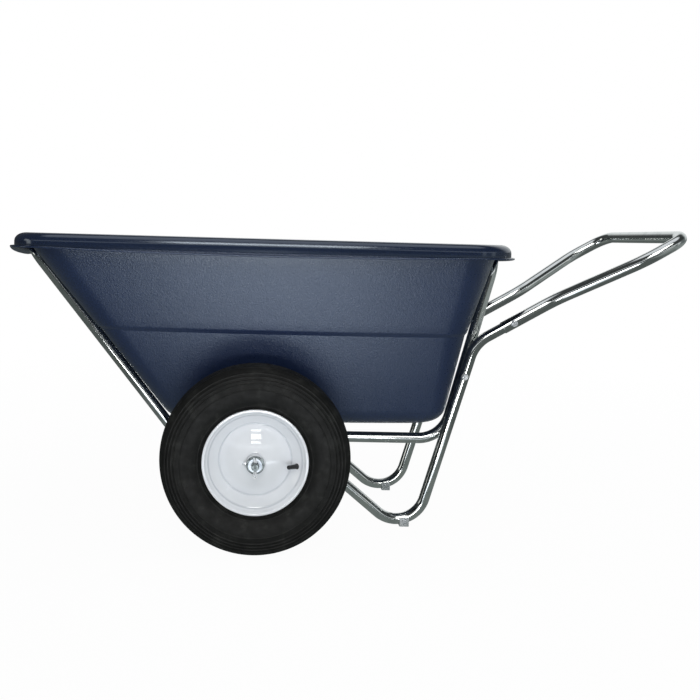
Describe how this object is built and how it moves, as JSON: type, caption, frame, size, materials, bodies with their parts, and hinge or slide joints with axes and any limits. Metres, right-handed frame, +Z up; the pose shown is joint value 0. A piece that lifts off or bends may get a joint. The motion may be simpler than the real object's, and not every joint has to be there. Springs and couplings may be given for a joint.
{
  "type": "garden cart",
  "caption": "Two-wheeled garden cart: a deep moulded tub hung on a bent-tube frame with ground legs and a looped push handle.",
  "frame": {"origin": "on the ground, under the middle of the cart's bounding box", "axes": "+X from the tub's nose to the handle, +Y to the operator's right, +Z up; the cart is mirror-symmetric about Y = 0"},
  "size_m": [1.5611, 0.81, 0.7127],
  "materials": {
    "tub_navy": "satin moulded polyethylene with a fine pebble grain",
    "tube_zinc": "bright zinc plating on drawn steel tube",
    "fastener_zinc": "pale zinc plating",
    "plain_steel": "turned steel",
    "rim_white": "gloss white enamel",
    "tyre_rubber": "ribbed black rubber",
    "valve_rubber": "moulded black rubber"
  },
  "bodies": {
    "frame": {"front_hoop": "tube_zinc", "rear_hoop": "tube_zinc", "handle_loop": "tube_zinc", "axle": "plain_steel", "left_leg_tube": "tube_zinc", "left_foot_shoe": "fastener_zinc", "left_outer_washer": "fastener_zinc", "left_inner_washer": "fastener_zinc", "left_axle_sleeve": "tube_zinc", "left_split_pin": "fastener_zinc", "left_leg_front_bolt": "fastener_zinc", "left_leg_front_nut": "fastener_zinc", "left_leg_rear_bolt": "fastener_zinc", "left_leg_rear_nut": "fastener_zinc", "left_handle_bolt": "fastener_zinc", "left_handle_nut": "fastener_zinc", "left_foot_bolt": "fastener_zinc", "left_foot_nut": "fastener_zinc", "right_leg_tube": "tube_zinc", "right_foot_shoe": "fastener_zinc", "right_outer_washer": "fastener_zinc", "right_inner_washer": "fastener_zinc", "right_axle_sleeve": "tube_zinc", "right_split_pin": "fastener_zinc", "right_leg_front_bolt": "fastener_zinc", "right_leg_front_nut": "fastener_zinc", "right_leg_rear_bolt": "fastener_zinc", "right_leg_rear_nut": "fastener_zinc", "right_handle_bolt": "fastener_zinc", "right_handle_nut": "fastener_zinc", "right_foot_bolt": "fastener_zinc", "right_foot_nut": "fastener_zinc"},
    "left_wheel": {"left_tyre": "tyre_rubber", "left_air_tube": "valve_rubber", "left_rim_outer": "rim_white", "left_rim_inner": "rim_white", "left_hub_tube": "rim_white", "left_outer_bearing": "plain_steel", "left_inner_bearing": "plain_steel", "left_valve_stem": "valve_rubber", "left_valve_cap": "valve_rubber", "left_grease_fitting": "fastener_zinc"},
    "right_wheel": {"right_tyre": "tyre_rubber", "right_air_tube": "valve_rubber", "right_rim_outer": "rim_white", "right_rim_inner": "rim_white", "right_hub_tube": "rim_white", "right_outer_bearing": "plain_steel", "right_inner_bearing": "plain_steel", "right_valve_stem": "valve_rubber", "right_valve_cap": "valve_rubber", "right_grease_fitting": "fastener_zinc"},
    "tub": {"tub": "tub_navy"}
  },
  "joints": [
    {"name": "left_wheel_spin", "type": "hinge", "parent": "frame", "child": "left_wheel", "pos_m": [-0.2, -0.33, 0.203], "axis": [0, 1, 0], "continuous": true},
    {"name": "right_wheel_spin", "type": "hinge", "parent": "frame", "child": "right_wheel", "pos_m": [-0.2, 0.33, 0.203], "axis": [0, 1, 0], "continuous": true},
    {"name": "tub_lift", "type": "slide", "parent": "frame", "child": "tub", "axis": [0, 0, 1], "range_m": [0, 0.46]}
  ]
}
